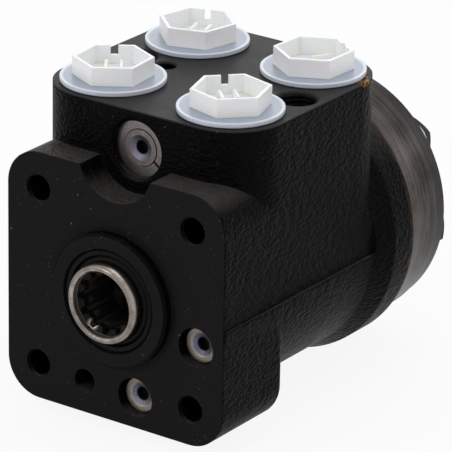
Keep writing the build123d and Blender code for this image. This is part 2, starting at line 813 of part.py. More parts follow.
with BuildPart() as spacer_disc:
    with BuildSketch(station(cover_front - face_gap - spacer_thickness)) as spacer_outline:
        with Locations((0, gear_offset)):
            Circle(drive_minor_radius - spacer_gap)
    extrude(amount=-spacer_thickness)
finish(spacer_disc, "spacer_disc")

# Distributor plate between housing and gear set
with BuildPart() as distributor_plate:
    with BuildSketch(station(plate_front)) as plate_outline:
        Circle(ring_radius)
        Circle(plate_bore, mode=Mode.SUBTRACT)
        with Locations(*screw_points):
            Circle(screw_hole_radius, mode=Mode.SUBTRACT)
        with Locations(*feed_points):
            Circle(feed_drill / 2, mode=Mode.SUBTRACT)
    extrude(amount=-plate_thickness)
    with BuildSketch(station(plate_back)) as plate_groove:
        Circle(seal_groove_outer)
        Circle(seal_groove_inner, mode=Mode.SUBTRACT)
    extrude(amount=seal_groove_depth, mode=Mode.SUBTRACT)
finish(distributor_plate, "distributor_plate")

# Gear ring: seven round lobes looking inwards, a screw through each lobe
with BuildPart() as gear_ring:
    with BuildSketch(station(ring_front)) as ring_outline:
        Circle(ring_radius)
        Circle(ring_root_radius, mode=Mode.SUBTRACT)
        with Locations(*screw_points):
            Circle(lobe_radius)
        with Locations(*screw_points):
            Circle(screw_hole_radius, mode=Mode.SUBTRACT)
    extrude(amount=-ring_width)
finish(gear_ring, "gear_ring")

# Gear star: the curve left free by the seven lobes as the star rolls around inside them
with BuildPart() as gear_star:
    with BuildSketch(station(ring_front + face_gap)) as star_outline:
        with BuildLine():
            Spline(*star_points, periodic=True)
        make_face()
        with Locations((0, gear_offset)):
            Circle(drive_minor_radius, mode=Mode.SUBTRACT)
            with PolarLocations(drive_minor_radius - star_space_root, drive_teeth, start_angle=90):
                Trapezoid(
                    star_space,
                    drive_tooth_height + star_space_root,
                    drive_tooth_slope,
                    rotation=-90,
                    align=(Align.CENTER, Align.MIN),
                    mode=Mode.SUBTRACT,
                )
    extrude(amount=-(ring_width - 2 * face_gap))
finish(gear_star, "gear_star")

# End cover
with BuildPart() as end_cover:
    with BuildSketch(station(cover_front)) as cover_outline:
        Circle(cover_radius)
    extrude(amount=-cover_thickness)
    chamfer(end_cover.edges().sort_by(Axis.Y)[-1], cover_chamfer)
    with BuildSketch(station(cover_front)) as cover_holes:
        with Locations(*screw_points):
            Circle(screw_hole_radius)
    extrude(amount=-cover_thickness, mode=Mode.SUBTRACT)
    with BuildSketch(station(cover_front)) as cover_groove:
        Circle(seal_groove_outer)
        Circle(seal_groove_inner, mode=Mode.SUBTRACT)
    extrude(amount=-seal_groove_depth, mode=Mode.SUBTRACT)
finish(end_cover, "end_cover")

# Face seals, squeezed square in their grooves
face_seal_fronts = {
    "housing_seal": housing_length - seal_groove_depth,
    "plate_seal": plate_back - seal_groove_depth,
    "cover_seal": cover_front,
}
for seal_name, seal_front in face_seal_fronts.items():
    with BuildPart() as face_seal:
        with BuildSketch(station(seal_front)) as seal_outline:
            Circle(seal_groove_outer - seal_side_gap)
            Circle(seal_groove_inner + seal_side_gap, mode=Mode.SUBTRACT)
        extrude(amount=-seal_groove_depth)
    finish(face_seal, seal_name)

# Rear screws with their washers; one of them carries a pin
with BuildPart() as rear_washers:
    with BuildSketch(station(cover_back)) as washer_outline:
        with Locations(*screw_points):
            Circle(washer_radius)
            Circle(screw_hole_radius, mode=Mode.SUBTRACT)
    extrude(amount=-washer_thickness)
finish(rear_washers, "rear_washers")

screw_sets = {
    "rear_screws": [point for point in screw_points if point != pin_screw_point],
    "pin_screw": [pin_screw_point],
}
for screw_name, points in screw_sets.items():
    with BuildPart() as screws:
        with BuildSketch(station(screw_tip_y)) as thread_outline:
            with Locations(*points):
                Circle(screw_radius)
        extrude(amount=-(head_front - screw_tip_y))
        with BuildSketch(station(head_front)) as screw_heads:
            with Locations(*points):
                RegularPolygon(head_flats / 2, hexagon_sides, major_radius=False)
        extrude(amount=-head_height)
        if screw_name == "pin_screw":
            with BuildSketch(station(pin_tip_y)) as screw_pin:
                with Locations(*points):
                    Circle(pin_radius)
            extrude(amount=-pin_length)
    finish(screws, screw_name)

# Relief valve: split ring, plug, adjusting screw, spring, poppet and seat, in a row along the bore
with BuildPart() as relief_split_ring:
    with BuildSketch(station(relief_face_y)) as split_ring_outline:
        with Locations((0, relief_z)):
            Circle(relief_bore_radius + relief_ring_bite - relief_ring_play)
            Circle(relief_boss_radius + relief_boss_gap, mode=Mode.SUBTRACT)
            with PolarLocations(relief_bore_radius, 1, start_angle=split_ring_angle):
                Rectangle(2 * relief_bore_radius, split_ring_opening, mode=Mode.SUBTRACT)
    extrude(amount=-relief_ring_thickness)
finish(relief_split_ring, "relief_split_ring")

with BuildPart() as relief_plug:
    with BuildSketch(station(relief_plug_front)) as relief_plug_outline:
        with Locations((0, relief_z)):
            Circle(relief_bore_radius - face_gap)
    extrude(amount=-(relief_plug_length - face_gap))
    with BuildSketch(station(relief_face_y - relief_boss_recess)) as relief_boss:
        with Locations((0, relief_z)):
            Circle(relief_boss_radius)
    extrude(amount=-relief_plug_length / 2)
    with Locations(station(relief_face_y - relief_boss_recess)):
        with Locations((0, relief_z)):
            CounterSinkHole(socket_radius, relief_dish_radius, socket_depth, dish_angle)
finish(relief_plug, "relief_plug")

with BuildPart() as relief_adjusting_screw:
    with BuildSketch(station(relief_plug_back + face_gap)) as adjusting_outline:
        with Locations((0, relief_z)):
            Circle(relief_chamber_radius - face_gap)
            RegularPolygon(socket_radius, hexagon_sides, mode=Mode.SUBTRACT)
    extrude(amount=-(relief_screw_length - face_gap))
finish(relief_adjusting_screw, "relief_adjusting_screw")

with BuildPart() as relief_poppet:
    with BuildSketch(Plane.YZ) as poppet_profile:
        with BuildLine():
            Polyline(
                (relief_poppet_front, relief_z),
                (relief_poppet_front, relief_guide_top),
                (relief_collar_back, relief_guide_top),
                (relief_collar_back, relief_z + relief_poppet_stem),
                (relief_seat_front - relief_poppet_cone, relief_z + relief_poppet_stem),
                (relief_seat_front + relief_poppet_reach, relief_z + relief_poppet_tip),
                (relief_seat_front + relief_poppet_reach, relief_z),
                close=True,
            )
        make_face()
    revolve(axis=relief_axis)
finish(relief_poppet, "relief_poppet")

with BuildPart() as relief_seat:
    with BuildSketch(station(relief_seat_front)) as seat_outline:
        with Locations((0, relief_z)):
            Circle(relief_chamber_radius - face_gap)
    extrude(amount=-relief_seat_length)
    with Locations(station(relief_seat_front)):
        with Locations((0, relief_z)):
            CounterSinkHole(relief_seat_drill / 2, relief_seat_drill / 2 + relief_seat_break)
finish(relief_seat, "relief_seat")

# Shock valves: adjusting screw and ball, and the suction ball with its pin, for each cylinder side
for side, (x, z) in shock_points.items():
    with BuildPart() as shock_screw:
        with BuildSketch(station(shock_face_y)) as shock_screw_outline:
            with Locations((x, z)):
                Circle(shock_screw_radius)
        extrude(amount=-shock_screw_length)
        chamfer(shock_screw.edges().sort_by(Axis.Y)[0], shock_screw_break)
        with Locations(station(shock_face_y)):
            with Locations((x, z)):
                Hole(shock_screw_radius - shock_rim, shock_rim_depth)
        with Locations(station(shock_face_y + shock_rim_depth)):
            with Locations((x, z)):
                CounterSinkHole(socket_radius, shock_dish_radius, socket_depth, dish_angle)
    finish(shock_screw, f"shock_valve_screw_{side}")
    with BuildPart() as shock_ball:
        with Locations((x, shock_ball_middle, z)):
            Sphere(shock_ball_radius)
    finish(shock_ball, f"shock_valve_ball_{side}")

for side, (x, z) in suction_points.items():
    with BuildPart() as suction_ball:
        with Locations((x, suction_ball_middle, z)):
            Sphere(suction_ball_radius)
    finish(suction_ball, f"suction_ball_{side}")
    with BuildPart() as suction_pin:
        with BuildSketch(station(suction_pin_front)) as suction_outline:
            with Locations((x, z)):
                Circle(suction_drill_radius - suction_pin_gap)
        extrude(amount=-(housing_length - suction_pin_front))
    finish(suction_pin, f"suction_pin_{side}")

# Coil springs of square wire: the middle of each, then the front, length and radius of its room
relief_room = (relief_screw_back, relief_spring_length, relief_chamber_radius)
shock_room = (shock_spring_front, shock_spring_length, shock_chamber_radius)
springs = {"relief_spring": ((0, relief_z), relief_room)}
for side, shock_point in shock_points.items():
    springs[f"shock_valve_spring_{side}"] = (shock_point, shock_room)
for spring_name, ((x, z), (room_front, room_length, room_radius)) in springs.items():
    coil_height = room_length - 2 * face_gap - spring_wire
    coil_radius = room_radius - spring_play - spring_wire / 2
    coil_start = (x, room_front + face_gap + spring_wire / 2, z)
    with BuildPart() as coil_spring:
        with BuildLine() as coil_path:
            coil_pitch = coil_height / coil_turns
            coil = Helix(coil_pitch, coil_height, coil_radius, center=coil_start, direction=(0, 1, 0))
        with BuildSketch(Plane(origin=coil @ 0, x_dir=(0, 1, 0), z_dir=coil % 0)) as wire_section:
            Rectangle(spring_wire, spring_wire)
        sweep(is_frenet=True)
    finish(coil_spring, spring_name)

# Non-return valve under the pressure port
with BuildPart() as check_bushing:
    with BuildSketch(Plane.XY.offset(port_floor - check_bushing_length)) as bushing_outline:
        with Locations(port_places["rear_left"]):
            Circle(check_bushing_radius - face_gap)
            RegularPolygon(check_bushing_key, hexagon_sides, mode=Mode.SUBTRACT)
    extrude(amount=check_bushing_length)
finish(check_bushing, "check_bushing")

with BuildPart() as check_ball:
    with Locations((*port_places["rear_left"], check_ball_middle)):
        Sphere(check_ball_radius)
finish(check_ball, "check_ball")

# Transport plugs: open hexagon cup on a sealing flange, with a ribbed hollow shank in the port
for corner, (port_x, port_y) in port_places.items():
    notch_angle = radians(plug_notch_angles[corner])
    plug_frame = Plane(
        origin=(port_x, port_y, block_top + plug_seat_gap),
        x_dir=(cos(notch_angle), sin(notch_angle), 0),
        z_dir=(0, 0, 1),
    )
    with BuildPart() as transport_plug:
        with BuildSketch(plug_frame) as plug_disc:
            Circle(plug_disc_radius)
        extrude(amount=plug_disc_thickness)
        with BuildSketch(plug_frame.offset(plug_disc_thickness)) as plug_head:
            RegularPolygon(plug_head_flats / 2, hexagon_sides, major_radius=False, rotation=30)
        extrude(amount=plug_head_height)
        with BuildSketch(plug_frame.offset(plug_floor)) as plug_cup:
            RegularPolygon(plug_head_flats / 2 - plug_rim, hexagon_sides, major_radius=False, rotation=30)
            with Locations((plug_rib_length / 2, 0)):
                with GridLocations(0, plug_rib_spacing, 1, 2):
                    Rectangle(plug_rib_length, plug_rim, mode=Mode.SUBTRACT)
        extrude(amount=plug_cup_depth, mode=Mode.SUBTRACT)
        with BuildSketch(plug_frame.offset(plug_floor + plug_rib_height)) as above_ribs:
            Circle(plug_rib_radius)
        extrude(amount=plug_cup_depth, mode=Mode.SUBTRACT)
        with BuildSketch(plug_frame.offset(plug_floor + plug_cup_depth - plug_notch_depth)) as plug_notch:
            with Locations((plug_head_flats / 2, 0)):
                Rectangle(4 * plug_rim, plug_notch_width)
        extrude(amount=plug_notch_depth, mode=Mode.SUBTRACT)
        with BuildSketch(plug_frame) as plug_shank:
            Circle(plug_shank_radius - plug_ring_height)
            Circle(plug_shank_radius - plug_wall, mode=Mode.SUBTRACT)
        extrude(amount=-plug_shank_length)
        for i in range(plug_ring_count):
            ring_drop = plug_shank_length * (i + 1) / (plug_ring_count + 1)
            with BuildSketch(plug_frame.offset(-ring_drop)) as plug_ring:
                Circle(plug_shank_radius)
                Circle(plug_shank_radius - plug_wall, mode=Mode.SUBTRACT)
            extrude(amount=-plug_ring_width)
    finish(transport_plug, f"transport_plug_{corner}")
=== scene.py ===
import bmesh
import bpy
import json
import numpy as np
from mathutils import Matrix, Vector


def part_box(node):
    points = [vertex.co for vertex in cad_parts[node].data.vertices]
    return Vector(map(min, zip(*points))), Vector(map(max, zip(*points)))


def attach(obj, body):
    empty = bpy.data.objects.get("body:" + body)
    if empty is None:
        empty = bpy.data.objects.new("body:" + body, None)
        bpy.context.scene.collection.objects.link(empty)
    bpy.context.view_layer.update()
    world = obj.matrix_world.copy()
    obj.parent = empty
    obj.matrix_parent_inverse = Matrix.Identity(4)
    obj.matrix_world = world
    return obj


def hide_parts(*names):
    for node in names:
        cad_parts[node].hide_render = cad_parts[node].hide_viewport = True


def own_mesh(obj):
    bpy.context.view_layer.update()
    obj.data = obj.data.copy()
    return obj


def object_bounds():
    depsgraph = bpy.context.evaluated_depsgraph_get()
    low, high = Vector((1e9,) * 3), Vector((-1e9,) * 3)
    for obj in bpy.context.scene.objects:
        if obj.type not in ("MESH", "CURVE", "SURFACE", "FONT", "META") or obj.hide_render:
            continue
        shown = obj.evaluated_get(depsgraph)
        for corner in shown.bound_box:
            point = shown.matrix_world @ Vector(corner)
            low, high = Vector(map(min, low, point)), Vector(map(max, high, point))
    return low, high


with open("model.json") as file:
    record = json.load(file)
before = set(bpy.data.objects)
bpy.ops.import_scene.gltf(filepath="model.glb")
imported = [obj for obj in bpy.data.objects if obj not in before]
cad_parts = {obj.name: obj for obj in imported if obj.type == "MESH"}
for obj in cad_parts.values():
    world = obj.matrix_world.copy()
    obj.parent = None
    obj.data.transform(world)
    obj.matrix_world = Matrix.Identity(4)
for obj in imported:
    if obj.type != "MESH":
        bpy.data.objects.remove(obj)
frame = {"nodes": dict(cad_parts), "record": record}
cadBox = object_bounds()
nodes = frame["nodes"]
bpy.context.scene.view_settings.view_transform = "Standard"
print("frame loaded:", len(nodes), "nodes")


def frameMatrix(side, top, back, place):
    # the three axes as columns, then the place
    rows = np.column_stack([side, top, back, place]).tolist()
    return Matrix(rows + [[0.0, 0.0, 0.0, 1.0]])


# camera: angles in degrees, distances in metres, lens and sensor in millimetres; across and up move it
# in its own picture plane
view = {
    "turn": 35.11,
    "height": 21.84,
    "roll": 1.01,
    "distance": 1.25596,
    "across": 0.03423,
    "up": 0.02217,
    "lens": 327.6,
    "sensor": 36.0,
    "far": 20.0,
}


def addCamera(setup):
    # axes from turn and height about the origin, then rolled about the way the camera looks
    turn, height, roll = np.radians([setup["turn"], setup["height"], setup["roll"]])
    back = np.array([np.sin(turn) * np.cos(height), -np.cos(turn) * np.cos(height), np.sin(height)])
    right = np.array([np.cos(turn), np.sin(turn), 0.0])
    top = np.cross(back, right)
    rolledRight = np.cos(roll) * right + np.sin(roll) * top
    rolledTop = -np.sin(roll) * right + np.cos(roll) * top
    place = rolledRight * setup["across"] + rolledTop * setup["up"] + back * setup["distance"]
    camera = bpy.data.objects.new("camera", bpy.data.cameras.new("camera"))
    bpy.context.scene.collection.objects.link(camera)
    camera.matrix_world = frameMatrix(rolledRight, rolledTop, back, place)
    camera.data.lens = setup["lens"]
    camera.data.sensor_width = setup["sensor"]
    camera.data.clip_end = setup["far"]
    bpy.context.scene.camera = camera


def aimAt(place, target):
    # looks along -Z from the place to the target, with Z of the room upwards
    back = np.array(place) - np.array(target)
    back = back / np.linalg.norm(back)
    side = np.cross([0.0, 0.0, 1.0], back)
    side = side / np.linalg.norm(side)
    return frameMatrix(side, np.cross(back, side), back, place)


def straightLook(tree):
    # 1 where the ray comes from the camera, a mirror or a clear body, 0 where it lights a matt surface
    path = tree.nodes.new("ShaderNodeLightPath")
    seen = path.outputs["Is Camera Ray"]
    for name in ("Is Glossy Ray", "Is Transmission Ray"):
        most = tree.nodes.new("ShaderNodeMath")
        most.operation = "MAXIMUM"
        tree.links.new(seen, most.inputs[0])
        tree.links.new(path.outputs[name], most.inputs[1])
        seen = most.outputs[0]
    return seen


# light: level of the room on matt surfaces, each soft panel's place and size in metres and power in watts,
# and the point that the panels face
light = {
    "room": 0.62,
    "panels": {
        "above": {"place": (0.10, 0.20, 0.95), "size": 0.60, "power": 2.0},
        "leftBack": {"place": (-0.55, 0.95, 0.52), "size": 0.50, "power": 1.3},
        "rightBack": {"place": (0.80, 0.90, 0.55), "size": 0.16, "power": 0.7},
        "leftFront": {"place": (-0.50, -0.95, 0.62), "size": 0.30, "power": 2.0},
    },
    "target": (0.0, 0.055, 0.01),
}


def addLights(setup):
    # square soft panels aimed at the unit, and a room that is white to look at and softer as light
    for name, panel in setup["panels"].items():
        data = bpy.data.lights.new(name, "AREA")
        data.shape = "SQUARE"
        data.size = panel["size"]
        data.energy = panel["power"]
        lamp = bpy.data.objects.new(name, data)
        bpy.context.scene.collection.objects.link(lamp)
        lamp.matrix_world = aimAt(panel["place"], setup["target"])
    world = bpy.data.worlds.new("room")
    bpy.context.scene.world = world
    world.use_nodes = True
    tree = world.node_tree
    tree.nodes.clear()
    level = tree.nodes.new("ShaderNodeMapRange")
    level.inputs["To Min"].default_value = setup["room"]
    level.inputs["To Max"].default_value = 1.0
    tree.links.new(straightLook(tree), level.inputs["Value"])
    sky = tree.nodes.new("ShaderNodeBackground")
    sky.inputs["Color"].default_value = (1.0, 1.0, 1.0, 1.0)
    tree.links.new(level.outputs["Result"], sky.inputs["Strength"])
    out = tree.nodes.new("ShaderNodeOutputWorld")
    tree.links.new(sky.outputs[0], out.inputs["Surface"])


# floor: tone and gloss, share of plain white that a straight or mirrored look sees, side, gap under the unit
floor = {"tone": 0.93, "rough": 0.9, "sheen": 0.1, "white": 0.90, "side": 6.0, "gap": 0.0004}


def addFloor(setup):
    # one square just under the unit; the white share leaves a soft shadow on it
    lowest = float(cadBox[0][2]) - setup["gap"]
    half = setup["side"] / 2
    corners = [(-half, -half, lowest), (half, -half, lowest), (half, half, lowest), (-half, half, lowest)]
    mesh = bpy.data.meshes.new("floor")
    mesh.from_pydata(corners, [], [(0, 1, 2, 3)])
    ground = bpy.data.objects.new("floor", mesh)
    bpy.context.scene.collection.objects.link(ground)
    material = bpy.data.materials.new("paleFloor")
    material.use_nodes = True
    tree = material.node_tree
    shader = tree.nodes["Principled BSDF"]
    shader.inputs["Base Color"].default_value = (setup["tone"], setup["tone"], setup["tone"], 1.0)
    shader.inputs["Roughness"].default_value = setup["rough"]
    shader.inputs["Specular IOR Level"].default_value = setup["sheen"]
    share = tree.nodes.new("ShaderNodeMath")
    share.operation = "MULTIPLY"
    share.inputs[1].default_value = setup["white"]
    tree.links.new(straightLook(tree), share.inputs[0])
    white = tree.nodes.new("ShaderNodeEmission")
    white.inputs["Color"].default_value = (1.0, 1.0, 1.0, 1.0)
    mix = tree.nodes.new("ShaderNodeMixShader")
    tree.links.new(share.outputs[0], mix.inputs["Fac"])
    tree.links.new(shader.outputs[0], mix.inputs[1])
    tree.links.new(white.outputs[0], mix.inputs[2])
    tree.links.new(mix.outputs[0], tree.nodes["Material Output"].inputs["Surface"])
    mesh.materials.append(material)


addCamera(view)
addLights(light)
addFloor(floor)
print("camera, lights and floor set")


class Finish:
    # writes one material's nodes: each call adds a node, links or sets its inputs and returns its output
    def __init__(self, name):
        self.material = bpy.data.materials.new(name)
        self.material.use_nodes = True
        self.tree = self.material.node_tree
        self.shader = self.tree.nodes["Principled BSDF"]
        self.places = self.tree.nodes.new("ShaderNodeTexCoord")

    def put(self, socket, value):
        # an output is linked, and a colour or a number is set on the socket itself
        if isinstance(value, bpy.types.NodeSocket):
            self.tree.links.new(value, socket)
        elif isinstance(value, tuple) and socket.type == "RGBA":
            socket.default_value = (*value, 1.0)
        else:
            socket.default_value = value

    def calc(self, operation, first, second=0.0, clamp=False):
        # one step of arithmetic
        node = self.tree.nodes.new("ShaderNodeMath")
        node.operation = operation
        node.use_clamp = clamp
        self.put(node.inputs[0], first)
        self.put(node.inputs[1], second)
        return node.outputs[0]

    def times(self, *values):
        # product of all the values
        total = values[0]
        for value in values[1:]:
            total = self.calc("MULTIPLY", total, value)
        return total

    def most(self, *values):
        # largest of all the values
        total = values[0]
        for value in values[1:]:
            total = self.calc("MAXIMUM", total, value)
        return total

    def without(self, value):
        # what is left of 1
        return self.calc("SUBTRACT", 1.0, value, True)

    def ramp(self, value, none, full):
        # 0 at none, 1 at full, smooth between, and none may be the larger
        node = self.tree.nodes.new("ShaderNodeMapRange")
        node.interpolation_type = "SMOOTHSTEP"
        self.put(node.inputs["Value"], value)
        self.put(node.inputs["From Min"], none)
        self.put(node.inputs["From Max"], full)
        return node.outputs["Result"]

    def spread(self, value, low, high):
        # 0 to 1 made into low to high
        node = self.tree.nodes.new("ShaderNodeMapRange")
        self.put(node.inputs["Value"], value)
        self.put(node.inputs["To Min"], low)
        self.put(node.inputs["To Max"], high)
        return node.outputs["Result"]

    def axes(self, source="Object"):
        # the place on the object, or its normal, along x, y and z
        node = self.tree.nodes.new("ShaderNodeSeparateXYZ")
        self.put(node.inputs[0], self.places.outputs[source])
        return node.outputs[0], node.outputs[1], node.outputs[2]

    def fromLine(self, first, second, centre=(0.0, 0.0)):
        # distance from a line along the third axis: root of the two squares
        one = self.calc("SUBTRACT", first, centre[0])
        two = self.calc("SUBTRACT", second, centre[1])
        return self.calc("SQRT", self.calc("ADD", self.times(one, one), self.times(two, two)))

    def fromPoint(self, centre):
        # distance from one point of the object
        node = self.tree.nodes.new("ShaderNodeVectorMath")
        node.operation = "DISTANCE"
        self.put(node.inputs[0], self.places.outputs["Object"])
        node.inputs[1].default_value = centre
        return node.outputs["Value"]

    def stretched(self, scale):
        # places scaled along each axis, so that a pattern comes out longer or shorter that way
        node = self.tree.nodes.new("ShaderNodeMapping")
        self.put(node.inputs["Vector"], self.places.outputs["Object"])
        node.inputs["Scale"].default_value = scale
        return node.outputs[0]

    def noise(self, size, detail=3.0, rough=0.55, where=None):
        # cloudy pattern whose patches are about one size across
        node = self.tree.nodes.new("ShaderNodeTexNoise")
        self.put(node.inputs["Vector"], where or self.places.outputs["Object"])
        node.inputs["Scale"].default_value = 1 / size
        node.inputs["Detail"].default_value = detail
        node.inputs["Roughness"].default_value = rough
        return node.outputs["Fac"]

    def cells(self, size, feature="F1", where=None):
        # distance from scattered points, in cells
        node = self.tree.nodes.new("ShaderNodeTexVoronoi")
        node.feature = feature
        self.put(node.inputs["Vector"], where or self.places.outputs["Object"])
        node.inputs["Scale"].default_value = 1 / size
        return node.outputs["Distance"]

    def blend(self, amount, first, second, kind="RGBA"):
        # first at 0, second at 1
        node = self.tree.nodes.new("ShaderNodeMix")
        node.data_type = kind
        sockets = [socket for socket in node.inputs if socket.enabled]
        self.put(sockets[0], amount)
        self.put(sockets[1], first)
        self.put(sockets[2], second)
        return next(socket for socket in node.outputs if socket.enabled)

    def bump(self, height, distance, under=None):
        # small relief: a height of 1 stands one distance proud
        node = self.tree.nodes.new("ShaderNodeBump")
        self.put(node.inputs["Height"], height)
        node.inputs["Distance"].default_value = distance
        if under is not None:
            self.put(node.inputs["Normal"], under)
        return node.outputs[0]

    def softEdge(self, radius):
        # normal rounded over the edges
        node = self.tree.nodes.new("ShaderNodeBevel")
        node.samples = 6
        node.inputs["Radius"].default_value = radius
        return node.outputs[0]

    def edges(self, radius, low=0.02, high=0.3):
        # how far the softened normal leaves the true one, so near 1 along edges
        true = self.tree.nodes.new("ShaderNodeNewGeometry").outputs["Normal"]
        node = self.tree.nodes.new("ShaderNodeVectorMath")
        node.operation = "DOT_PRODUCT"
        self.put(node.inputs[0], self.softEdge(radius))
        self.put(node.inputs[1], true)
        return self.ramp(self.calc("SUBTRACT", 1.0, node.outputs["Value"]), low, high)

    def done(self, **values):
        # the shader's sockets by short names
        labels = {
            "color": "Base Color",
            "rough": "Roughness",
            "metal": "Metallic",
            "normal": "Normal",
            "specular": "Specular IOR Level",
            "under": "Subsurface Weight",
            "underDepth": "Subsurface Scale",
        }
        for name, value in values.items():
            self.put(self.shader.inputs[labels[name]], value)
        return self.material


# black paint over the iron casting: linear colours, gloss, then places and sizes in metres; a zone given
# by two places or two facings starts to show at the first and is full at the second
paint = {
    "tone": (0.0013, 0.0012, 0.0013),
    "greyer": (0.0030, 0.0026, 0.0026),
    "faceTone": (0.0103, 0.0096, 0.0098),
    "portTone": (0.032, 0.032, 0.033),
    # film: a pale film on the up-facing cast faces that is also painted light, their tops made lighter as if
    # lit from above
    "film": (0.062, 0.056, 0.053),
    "worn": (0.026, 0.021, 0.018),
    "dust": (0.19, 0.13, 0.075),
    "chips": (0.46, 0.23, 0.07),
    "rust": (0.050, 0.027, 0.016),
    "gloss": (0.30, 0.50),
    "glossPatch": 0.0042,
    "dullDust": 0.3,
    "sheen": 0.03,
    "patch": 0.017,
    "pebble": 0.0011,
    "pebbleStretch": (1.0, 0.70, 1.25),
    "pebbleShare": 0.55,
    "lump": 0.00176,
    "lumpShare": 1.1,
    "pebbleHeight": 0.00080,
    "grain": 0.00040,
    "grainHeight": 0.00005,
    "castRound": 0.0022,
    "machinedRound": 0.0004,
    "columnFace": (0.0016, 0.0006),
    "facingForward": (-0.75, -0.95),
    "paintedTopLightFacing": (0.50, 0.95),
    "portFace": (0.0573, 0.0577),
    "bores": (0.0222, 0.0219),
    "filmPatch": 0.006,
    "edgeWidth": 0.0009,
    "wearPatch": 0.0024,
    "wearShare": 0.6,
    "rimStart": (0.0966, 0.0976),
    "rimRadius": (0.0440, 0.0446),
    "rustPatch": 0.004,
    "rustShare": 0.7,
    "speck": {"size": 0.0040, "core": (0.10, 0.05), "cluster": 0.016, "thick": (0.50, 0.62)},
    "fineSpeck": {"size": 0.0014, "core": (0.15, 0.06), "cluster": 0.009, "thick": (0.50, 0.60)},
    "chip": {"size": 0.0013, "core": (0.58, 0.44), "cluster": 0.0024, "thick": (0.40, 0.47)},
    "chipPlace": (0.0382, 0.0760, 0.0580),
    "chipReach": (0.0060, 0.0024),
    "chipHeight": (0.0565, 0.0573),
}


def scattered(mat, spot):
    # round spots about scattered points, kept where a cloudy pattern is thick
    cores = mat.ramp(mat.cells(spot["size"]), *spot["core"])
    return mat.times(cores, mat.ramp(mat.noise(spot["cluster"], 2.0), *spot["thick"]))


def castNormal(mat, setup, cast):
    # pebbles and lumps on the cast faces over widely rounded edges, and a fine grain on everything
    longer = mat.stretched(setup["pebbleStretch"])
    pebbles = mat.without(mat.cells(setup["pebble"], "SMOOTH_F1", longer))
    lumps = mat.noise(setup["lump"], 3.0, 0.6, longer)
    height = mat.calc("ADD", mat.times(pebbles, setup["pebbleShare"]), mat.times(lumps, setup["lumpShare"]))
    narrow, wide = mat.softEdge(setup["machinedRound"]), mat.softEdge(setup["castRound"])
    rounded = mat.blend(cast, narrow, wide, "VECTOR")
    pebbled = mat.bump(mat.times(height, cast), setup["pebbleHeight"], rounded)
    return mat.bump(mat.noise(setup["grain"], 3.0, 0.6), setup["grainHeight"], pebbled)


def blackPaint(setup):
    # one tone for each kind of face, then film and painted top light, wear, rust, dust and chips over them in
    # that order
    mat = Finish("blackPaint")
    x, y, z = mat.axes()
    facingY, facingZ = mat.axes("Normal")[1:]
    fromShaft = mat.fromLine(x, z)
    columnFace = mat.times(mat.ramp(y, *setup["columnFace"]), mat.ramp(facingY, *setup["facingForward"]))
    portFace = mat.ramp(z, *setup["portFace"])
    machined = mat.most(columnFace, portFace, mat.ramp(fromShaft, *setup["bores"]))
    cast = mat.without(machined)
    specks = mat.most(scattered(mat, setup["speck"]), scattered(mat, setup["fineSpeck"]))
    dust = mat.times(specks, mat.spread(machined, 0.35, 0.8))
    nearChips = mat.ramp(mat.fromPoint(setup["chipPlace"]), *setup["chipReach"])
    chips = mat.times(scattered(mat, setup["chip"]), nearChips, mat.ramp(z, *setup["chipHeight"]))
    worn = mat.ramp(mat.noise(setup["wearPatch"], 4.0, 0.7), 0.40, 0.70)
    wear = mat.times(mat.edges(setup["edgeWidth"]), worn)
    rimPlace = mat.times(mat.ramp(y, *setup["rimStart"]), mat.ramp(fromShaft, *setup["rimRadius"]))
    rust = mat.times(rimPlace, mat.ramp(mat.noise(setup["rustPatch"], 4.0, 0.65), 0.38, 0.60))
    # the film is also painted light: up-facing cast faces made lighter as if they caught the light from above
    film = mat.times(cast, mat.ramp(facingZ, *setup["paintedTopLightFacing"]))
    film = mat.times(film, mat.spread(mat.noise(setup["filmPatch"], 3.0), 0.4, 1.0))
    tone = mat.blend(mat.noise(setup["patch"], 4.0), setup["tone"], setup["greyer"])
    tone = mat.blend(columnFace, tone, setup["faceTone"])
    tone = mat.blend(portFace, tone, setup["portTone"])
    tone = mat.blend(film, tone, setup["film"])
    tone = mat.blend(mat.times(wear, setup["wearShare"]), tone, setup["worn"])
    tone = mat.blend(mat.times(rust, setup["rustShare"]), tone, setup["rust"])
    tone = mat.blend(dust, tone, setup["dust"])
    tone = mat.blend(chips, tone, setup["chips"])
    dull = mat.times(mat.most(dust, chips), setup["dullDust"])
    rough = mat.calc("ADD", mat.spread(mat.noise(setup["glossPatch"], 3.0), *setup["gloss"]), dull)
    normal = castNormal(mat, setup, cast)
    return mat.done(color=tone, rough=rough, specular=setup["sheen"], normal=normal)


